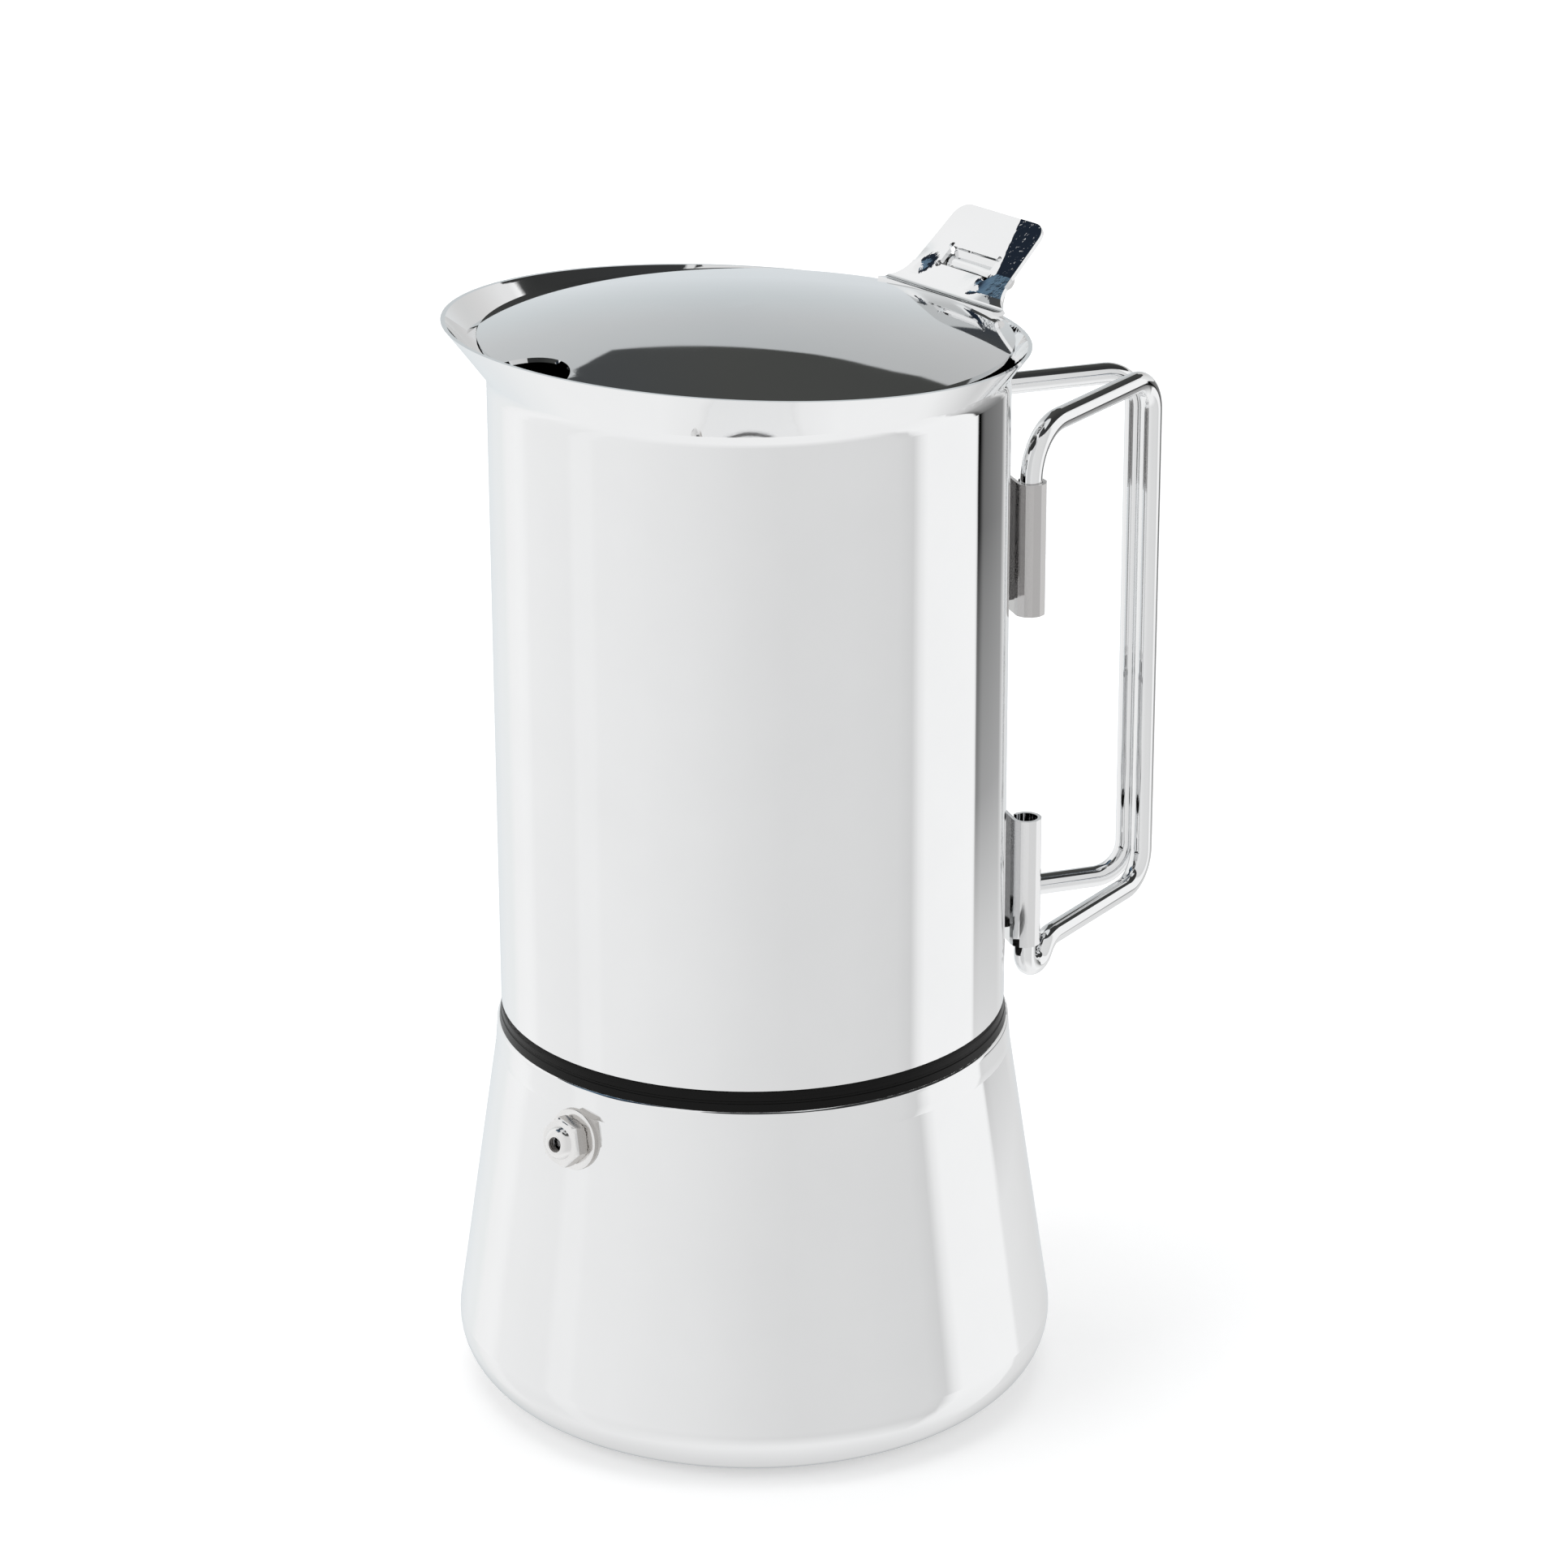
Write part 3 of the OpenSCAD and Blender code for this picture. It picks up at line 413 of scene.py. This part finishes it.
def valve_fitting():
    """The safety valve's body: flange, hexagon with chamfered corners, and a nipple with a threaded hole."""
    # the hole and chamber take steel painted dark, as painted shade
    bright, milled, painted_dark_bore = 0, 1, 2
    shank = [(CHAMBER, VALVE_BACK), (3.6, VALVE_BACK), (3.6, -0.4)]
    flange_rim = [(5.4, -0.4), (5.4, 0.42)]
    flange_face = [(5.35, 0.55), (5.2, 0.64), (4.9, 0.7), (4.6, 0.74), (3.6, 0.78), (3.6, 0.86)]
    flats = [(hexagon(3.75), 0.88), (hexagon(4.1), 1.0), (hexagon(4.4), 1.2), (hexagon(4.7), 1.5),
             (hexagon(4.7), 2.0), (hexagon(4.7), 2.6)]
    chamfer = [(hexagon(4.7), 3.15), (hexagon(4.42), 3.45), (hexagon(4.12), 3.68), (hexagon(3.85), 3.8)]
    nipple = [(3.6, 3.85), (3.1, 3.86), (2.95, 3.92), (2.86, 4.1), (2.72, 4.45), (2.42, 4.8), (2.02, 5.05),
              (1.72, 5.17), (1.58, 5.19), (1.5, 5.14)]
    steps = 44
    depths = [HOLE_TOP - HOLE_DEPTH * i / steps for i in range(steps + 1)]
    hole = [(hole_thread(height), height) for height in depths]
    chamber = [(CHAMBER, HOLE_TOP - HOLE_DEPTH), (CHAMBER, VALVE_BACK)]
    parts = [(shank, bright), (flange_rim, milled), (flange_face, bright), (flats, milled),
             (chamfer + nipple, bright), (hole + chamber, painted_dark_bore)]
    rows = [ring_row(radius, height, 144) for part, _ in parts for radius, height in part]
    row_finish = [finish for part, finish in parts for _ in part]
    o = piece("valve_fitting", rows, VALVE_AT, [BRIGHT, FLATS, BORE_PAINTED_DARK], "boiler", row_finish)
    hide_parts("valve_body")


SPRING_WIRE = 0.25  # radius of its wire
SPRING_OUTER = 2  # radius over its coils
SPRING_TURNS = 5
SPRING_SEAT, SPRING_HEAD = -3, 3.8  # heights in the valve of its ends


def spring_coil():
    """The valve's spring, coiled between its seat and the pin's head; the real one shortens as the pin is
    pushed out, but this coil keeps its length.
    """
    steps, sides = 150, 10
    coil = SPRING_OUTER - SPRING_WIRE
    low, high = SPRING_SEAT + SPRING_WIRE, SPRING_HEAD - SPRING_WIRE
    rows = []
    for i in range(steps + 1):
        a = 2 * math.pi * SPRING_TURNS * i / steps
        rise = low + (high - low) * i / steps
        row = []
        for k in range(sides):
            b = 2 * math.pi * k / sides
            r = coil + SPRING_WIRE * math.cos(b)
            row.append((r * math.cos(a), r * math.sin(a), rise + SPRING_WIRE * math.sin(b)))
        rows.append(row)
    first, last = [sum((Vector(p) for p in row), Vector()) / sides for row in (rows[0], rows[-1])]
    rows = [[first] * sides, *rows, [last] * sides]
    o = piece("spring_coil", rows, VALVE_AT, [SATIN], "boiler", sharp=60)
    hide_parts("valve_spring")
    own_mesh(o)


THREAD_PITCH = 3.0
THREAD_FADE = 1.2  # the ridges grow and fade over this height at each end
THREAD_BACK = 0.3  # the band's thickness behind the ridges


def ridges(root, rise, turns):
    """Radius of a right-hand thread whose ridges stand rise out of root, turns of it above its start."""
    def radius(a):
        wave = 0.5 + 0.5 * math.cos(2 * math.pi * (turns - a / (2 * math.pi)))
        return root + rise * wave ** 1.5
    return radius


def thread_band(name, low, high, root, crest, phase, body):
    """A band of rounded ridges, radius root to crest, that fade out at both ends."""
    steps, around = 48, 160
    rows = []
    for i in range(steps + 1):
        z = low + (high - low) * i / steps
        fade = min(1.0, (z - low) / THREAD_FADE, (high - z) / THREAD_FADE)
        turns = (z - low) / THREAD_PITCH + phase
        rows.append(ring_row(ridges(root, (crest - root) * fade, turns), z, around))
    back = root - THREAD_BACK if crest > root else root + THREAD_BACK
    rows.append(ring_row(back, high, around))
    rows.append(ring_row(back, low, around))
    rows.append(rows[0])
    piece(name, rows, Matrix(), [SATIN], body, sharp=60)


boiler_shoulder()
valve_fitting()
spring_coil()
thread_band("boiler_thread", low=72.6, high=79.2, root=37.02, crest=38.15, phase=0.0, body="boiler")
# a known fault: at this phase the ridges cut 0.7 mm into the boiler's at rest; with + 0.8 they'd lie between
thread_band("collar_thread", low=73.4, high=79.6, root=38.58, crest=37.45, phase=0.5 - 0.8 / THREAD_PITCH,
            body="jug")


# ---------------------------------------------------------------- studio
# Angles round the studio are in degrees from its open front, and heights go from 0 at the horizon
# to 1 straight up. The steel mirrors them; the camera sees white.

FRONT = math.radians(-127.6)  # the way the studio opens, seen from the pot
STEEL = 0.9  # how much light the steel gives back
OVERHEAD = 90  # degrees

# display tones of the light walls: grey, or red, green and blue
WALLS = [
    (-180, 208, 213, 216), (-164, 222, 226, 228), (-150, 230, 232, 233), (-140, 232, 234, 234), (-134, 239),
    (-124, 242), (-119, 241), (-114, 236), (-98, 234), (-87, 233), (-83, 237), (-74, 237), (-71, 234),
    (-50, 232), (-25, 227), (0, 220), (15, 217), (45, 217), (68, 214), (76, 208), (80, 231), (84, 242),
    (116, 244), (118, 244), (121, 228), (140, 222), (155, 216), (180, 208, 213, 216),
]
# how the walls grow dimmer with height, and the angles where they don't: 1 keeps them as bright as they are
DIMMER = [(0, 1), (0.11, 0.86, 0.865, 0.86), (0.2, 0.78, 0.765, 0.755), (0.3, 0.7, 0.69, 0.68), (1, 0.6)]
EVEN = [(-180, 0), (-154.8, 0), (-144, 1), (126, 1), (151.2, 0), (180, 0)]
# the walls' upper edge, in degrees above the horizon
EDGES = [
    (-180, 26.2), (-177, 25.5), (-174, 25), (-172.9, 27.3), (-171.8, 30.1), (-168, 40), (-150, 54),
    (-131, 54), (-126, 45), (-120, 41), (-104, 42), (-96, 46), (-82, 46), (-76, 50), (-72, 90), (-60, 90),
    (-40, 66), (14, 63), (24, 60), (38, 57), (50, 52), (71, 45), (100, 36), (115, 30), (126, 26), (138, 23.5),
    (149, 24), (158, 28.5), (168, 28.7), (172, 28.8), (175, 27.4), (180, 26.2),
]
EDGE_SHARPNESS = 220.0
# the dark room above the walls' edge
DARK_ROOM = [
    (-180, 0.066, 0.068, 0.065), (-169.2, 0.06, 0.065, 0.07), (-151.2, 0.02, 0.03, 0.05),
    (-124.2, 0.015, 0.022, 0.035), (-113.4, 0.015, 0.022, 0.035), (-108, 0.13, 0.21, 0.29),
    (-100.8, 0.1, 0.17, 0.25), (-86.4, 0.02, 0.03, 0.05), (-64.8, 0.05, 0.052, 0.055),
    (108, 0.035, 0.036, 0.036), (180, 0.066, 0.068, 0.065),
]
# the height where the lit ceiling starts
CEILING = [(-180, 0.76), (-61.2, 0.76), (-50.4, 1), (36, 1), (46.8, 0.76), (180, 0.76)]
CEILING_SHARPNESS = 25.0
CEILING_LIGHT = (0.8, 0.81, 0.82, 1)
# the paper close below the pot is brighter than the walls: wholly at the first height, not at the second
PAPER_BELOW = (-0.6, -0.4)
PAPER_LIGHT = (0.96, 0.96, 0.96, 1)
# what lights the paper and the dull parts
FILL_LIGHT = (0.98, 0.99, 1.0, 1)
FILL_STRENGTH = 0.5
WHITE = (1, 1, 1, 1)

# painted shadow under the foot, which mirrors see through the paper, by distance from the pot's axis in
# metres
CONTACT_PAINTED_SHADOW = [(0, 0.3), (0.0425, 0.35), (0.04875, 0.75), (0.0575, 0.95), (0.075, 1), (0.25, 1)]
# the dark room past the paper's edge on the far right, by angle round the studio and by distance
FAR_SIDE = [(-180, 0), (118, 0), (119.4, 1), (121, 1), (124.5, 0.82), (146, 0.7), (152, 0), (180, 0)]
FAR_OUT = [(0, 0), (0.15625, 0), (0.2375, 0.24), (0.33125, 0.68), (0.46875, 0.86), (0.5375, 0.97),
           (0.625, 1)]
FAR_EDGE_BESIDE = 0.03456  # the far edge passes the pot's axis at this distance
PAPER_COLOUR = (0.82, 0.82, 0.82, 1)
PAPER_GLOW = 0.3  # its own light at the pot
PAPER_GLOW_RISE = 0.3  # more light a metre, up to 1 more
PAPER_HALF = 4  # half its width in metres


def linear(tone):
    """Light of a display tone from 0 to 255, by the sRGB curve."""
    v = tone / 255
    return v / 12.92 if v <= 0.04045 else ((v + 0.055) / 1.055) ** 2.4


def tones(stops):
    """Stops of (angle, display tones) as stops of (angle, light) that the steel shows as those tones."""
    return [(angle, *[min(1.0, linear(v) / STEEL) for v in tone]) for angle, *tone in stops]


def angle_round(s, x, y):
    """Angle round the studio in degrees from its open front."""
    c, d = math.cos(FRONT), math.sin(FRONT)
    ahead = s.calc("ADD", s.calc("MULTIPLY", x, c), s.calc("MULTIPLY", y, d))
    aside = s.calc("SUBTRACT", s.calc("MULTIPLY", y, c), s.calc("MULTIPLY", x, d))
    return s.calc("MULTIPLY", s.calc("ARCTAN2", aside, ahead), math.degrees(1))


def mirrored(s):
    """1 for rays that left a mirror or passed through something, else 0."""
    path = s.add("LightPath").outputs
    return s.calc("MAXIMUM", path["Is Glossy Ray"], path["Is Transmission Ray"])


def painted_shadow_and_dark_room(s, x, y, far):
    """How much of the studio the steel sees through the paper: less under the pot, where a shadow is painted,
    and past the far edge.
    """
    beside = s.calc("DIVIDE", math.degrees(FAR_EDGE_BESIDE), far)
    side = s.graph(s.calc("ADD", angle_round(s, x, y), beside), FAR_SIDE)
    gone = s.calc("SUBTRACT", 1.0, s.calc("MULTIPLY", side, s.graph(far, FAR_OUT)))
    return s.mix(1, s.graph(far, CONTACT_PAINTED_SHADOW), gone, "MULTIPLY")


def paper():
    """White paper: it looks white and takes the shadow, but mirrored rays pass through to the studio, with a
    painted shadow under the pot.
    """
    material = bpy.data.materials.new("paper")
    s = Shader(material, "OutputMaterial")
    x, y, _ = s.split(s.add("TexCoord").outputs["Object"])
    far = s.from_axis(x, y)
    rise = s.calc("MULTIPLY", far, PAPER_GLOW_RISE, clamp=True)
    seen = s.add("LightPath").outputs["Is Camera Ray"]
    glow = s.add("Emission", Strength=s.calc("MULTIPLY", seen, s.calc("ADD", rise, PAPER_GLOW)))
    lit = s.add("AddShader", s.add("BsdfDiffuse", Color=PAPER_COLOUR).outputs[0], glow.outputs[0])
    clear = s.add("BsdfTransparent", Color=painted_shadow_and_dark_room(s, x, y, far))
    s.feed(s.out.inputs["Surface"], s.mix_shaders(mirrored(s), lit.outputs[0], clear.outputs[0]))
    return material


def floor():
    """The sheet of paper that the pot stands on."""
    h = PAPER_HALF
    mesh = bpy.data.meshes.new("floor")
    mesh.from_pydata([(-h, -h, 0), (h, -h, 0), (h, h, 0), (-h, h, 0)], [], [(0, 1, 2, 3)])
    mesh.materials.append(paper())
    add_object("floor", mesh)


def room(s):
    """The light that the steel mirrors, by direction from the pot."""
    x, y, z = s.split(s.add("TexCoord").outputs["Generated"])
    angle = angle_round(s, x, y)
    height = s.calc("DIVIDE", s.calc("ARCSINE", z), math.pi / 2)
    dimmer = s.mix(s.graph(angle, EVEN), s.graph(height, DIMMER), WHITE)
    walls = s.mix(1, s.graph(angle, tones(WALLS)), dimmer, "MULTIPLY")
    edge = s.graph(angle, [(a, e / OVERHEAD) for a, e in EDGES])
    over = s.calc("MULTIPLY", s.calc("SUBTRACT", height, edge), EDGE_SHARPNESS, clamp=True)
    walls_and_dark = s.mix(over, walls, s.graph(angle, DARK_ROOM))
    start = s.graph(angle, CEILING)
    high = s.calc("MULTIPLY", s.calc("SUBTRACT", height, start), CEILING_SHARPNESS, clamp=True)
    with_ceiling = s.mix(high, walls_and_dark, CEILING_LIGHT)
    full, none = PAPER_BELOW
    down = s.calc("MULTIPLY_ADD", height, 1 / (full - none), -none / (full - none), clamp=True)
    return s.mix(down, with_ceiling, PAPER_LIGHT)


def studio():
    """The world: white for the camera, the room for mirrors, and a plain fill light for all the rest."""
    world = bpy.data.worlds.new("studio")
    bpy.context.scene.world = world
    s = Shader(world, "OutputWorld")
    seen = s.add("Background", Color=room(s))
    fill = s.add("Background", Color=FILL_LIGHT, Strength=FILL_STRENGTH)
    white = s.add("Background", Color=WHITE)
    lit = s.mix_shaders(mirrored(s), fill.outputs[0], seen.outputs[0])
    camera_ray = s.add("LightPath").outputs["Is Camera Ray"]
    s.feed(s.out.inputs["Surface"], s.mix_shaders(camera_ray, lit, white.outputs[0]))


LAMPS_AIM = Vector((0, 0, 0.1))


def lamp(name, place, size, power):
    """A square lamp that shows in no mirror."""
    d = bpy.data.lights.new(name, "AREA")
    d.size = size
    d.energy = power
    o = add_object(name, d)
    o.location = place
    o.rotation_mode = "QUATERNION"
    o.rotation_quaternion = (LAMPS_AIM - Vector(place)).to_track_quat("-Z", "Y")
    o.visible_glossy = False


floor()
studio()
lamp("lamp_left", (-1.1, 0.2, 0.9), size=0.9, power=5)
lamp("lamp_right", (0.7, -1.0, 0.9), size=0.8, power=3)
lamp("lamp_top", (0.1, 0.3, 1.4), size=1.2, power=8.5)


# ---------------------------------------------------------------- camera, fitted to the photo

EYE = Vector((-0.51103, -0.66341, 0.4274))
AHEAD = Vector((0.57598, 0.73722, -0.35315))
RIGHT = Vector((0.78801, -0.61566, 0))
ROLL = -0.0034  # radians
LENS, SENSOR = 116.4, 36
NEAR, FAR = 0.01, 50


def add_camera():
    """A camera at EYE that looks AHEAD, turned a little by ROLL."""
    forward = AHEAD.normalized()
    level = RIGHT.normalized()
    upright = level.cross(forward)
    right, up = level + upright * ROLL, upright - level * ROLL
    o = add_object("camera", bpy.data.cameras.new("camera"))
    o.data.lens = LENS
    o.data.sensor_width = SENSOR
    o.data.clip_start = NEAR
    o.data.clip_end = FAR
    o.matrix_world = Matrix.Translation(EYE) @ Matrix((right, up, -forward)).transposed().to_4x4()
    bpy.context.scene.camera = o


add_camera()
bpy.context.scene.view_settings.view_transform = "Standard"
